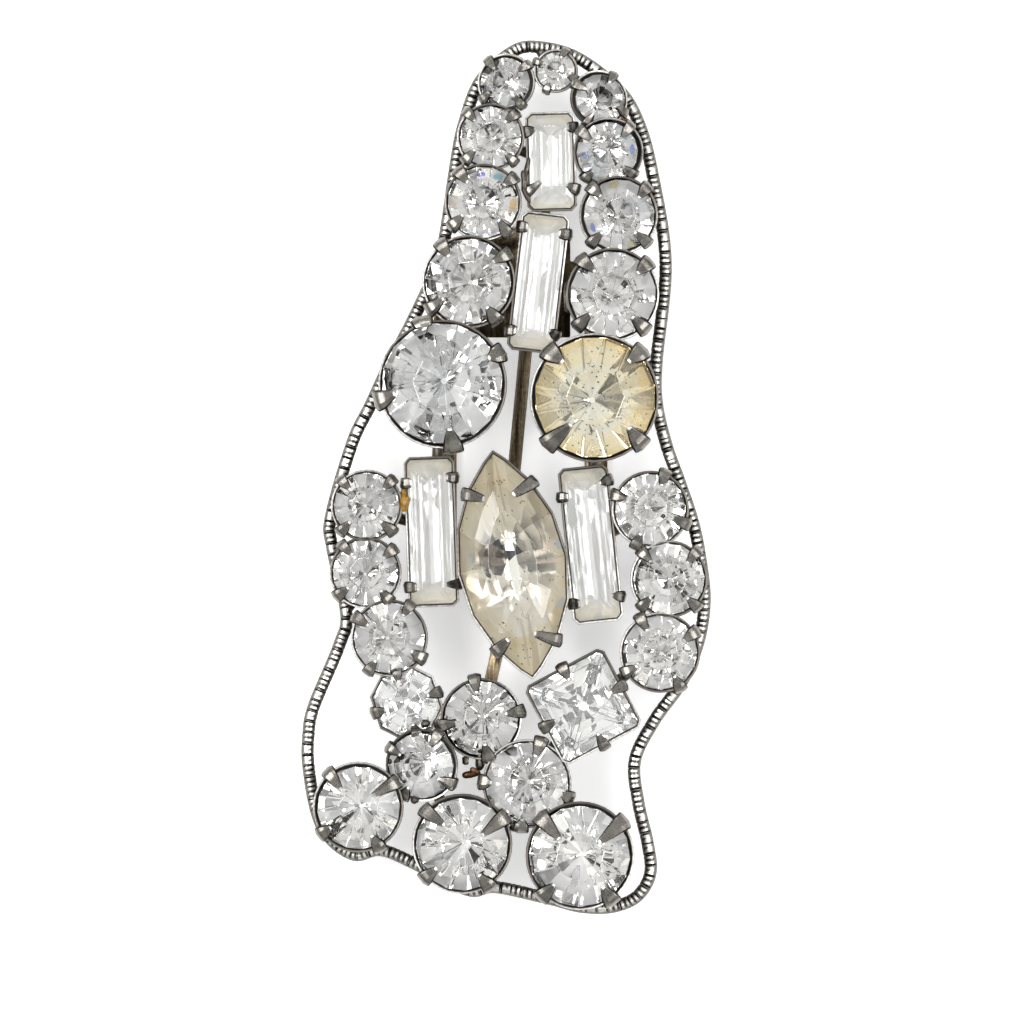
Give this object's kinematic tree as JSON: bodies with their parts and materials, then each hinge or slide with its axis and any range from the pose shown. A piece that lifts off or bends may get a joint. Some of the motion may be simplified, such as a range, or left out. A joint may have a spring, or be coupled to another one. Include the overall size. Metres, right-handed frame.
{
  "type": "dress clip",
  "caption": "Pear-shaped dress clip of clear round, step-cut and navette stones in claw cups inside a milled wire border, with a one-piece spring clip behind.",
  "frame": {"origin": "under the middle of the border's outline, on the surface that the clip lies on", "axes": "+Z out of the stones' faces, +Y towards the narrow end, +X to the right seen from the front"},
  "size_m": [0.0388, 0.0826, 0.0139],
  "materials": {
    "white_metal": "tarnished white metal, dark in the crevices, worn bright on the raised edges",
    "brass": "dull brown brass with drawn lines",
    "clear_glass": "clear cut glass over a silver foil back",
    "yellowed_glass": "clear cut glass over a yellowed foil back with dark specks"
  },
  "bodies": {
    "root": {"setting_frame": "white_metal", "back_clip": "brass", "navette": "yellowed_glass", "baguette_left": "clear_glass", "baguette_right": "clear_glass", "stone_right_5": "yellowed_glass", "stone_left_5": "clear_glass", "baguette_upper": "clear_glass", "baguette_top": "clear_glass", "stone_right_4": "clear_glass", "stone_right_3": "clear_glass", "stone_right_2": "clear_glass", "stone_right_1": "clear_glass", "stone_top": "clear_glass", "stone_left_4": "clear_glass", "stone_left_3": "clear_glass", "stone_left_2": "clear_glass", "stone_left_1": "clear_glass", "stone_left_6": "clear_glass", "stone_left_7": "clear_glass", "stone_left_8": "clear_glass", "cushion": "clear_glass", "stone_left_9": "clear_glass", "stone_left_10": "clear_glass", "stone_right_6": "clear_glass", "stone_right_7": "clear_glass", "stone_right_8": "clear_glass", "square": "clear_glass", "stone_low_1": "clear_glass", "stone_low_2": "clear_glass", "stone_low_3": "clear_glass", "stone_low_4": "clear_glass"}
  },
  "joints": []
}
